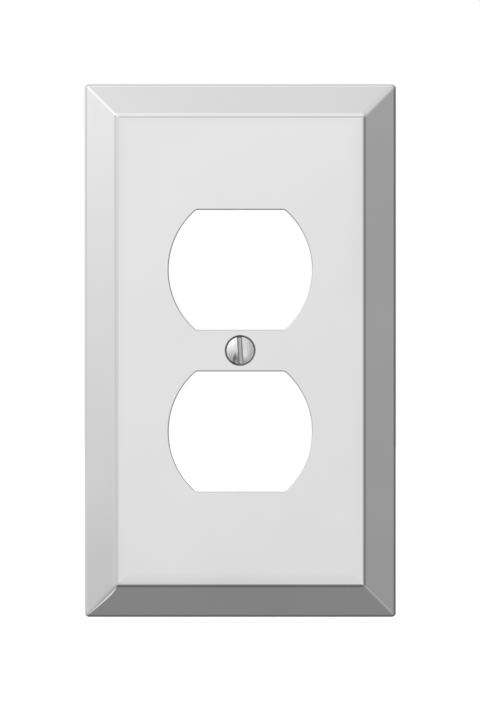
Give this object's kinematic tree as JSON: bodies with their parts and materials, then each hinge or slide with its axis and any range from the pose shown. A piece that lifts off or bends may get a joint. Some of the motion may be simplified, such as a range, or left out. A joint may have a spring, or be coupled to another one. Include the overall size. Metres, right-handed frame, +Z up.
{
  "type": "wall plate cover",
  "caption": "Stamped steel wall plate for a duplex receptacle: sloping mitred border, raised flat panel, openings for the receptacle's faces and a slotted oval-head screw.",
  "frame": {"origin": "on the screw's axis, at the middle of the plate, in the plane of the wall that the rim's back edge rests on", "axes": "+Z up the wall along the plate's height, +X to the right across its width as seen from the front, +Y into the wall, so the face looks along -Y"},
  "size_m": [0.075, 0.0135, 0.1286],
  "materials": {
    "plate": "polished chrome plating on stamped steel",
    "screw": "bright plating with fine straight brushing"
  },
  "bodies": {
    "faceplate": {"faceplate": "plate"},
    "mounting_screw": {"mounting_screw": "screw"}
  },
  "joints": [
    {"name": "screw_travel", "type": "slide", "parent": "faceplate", "child": "mounting_screw", "axis": [0, -1, 0], "range_m": [0, 0.014]}
  ]
}
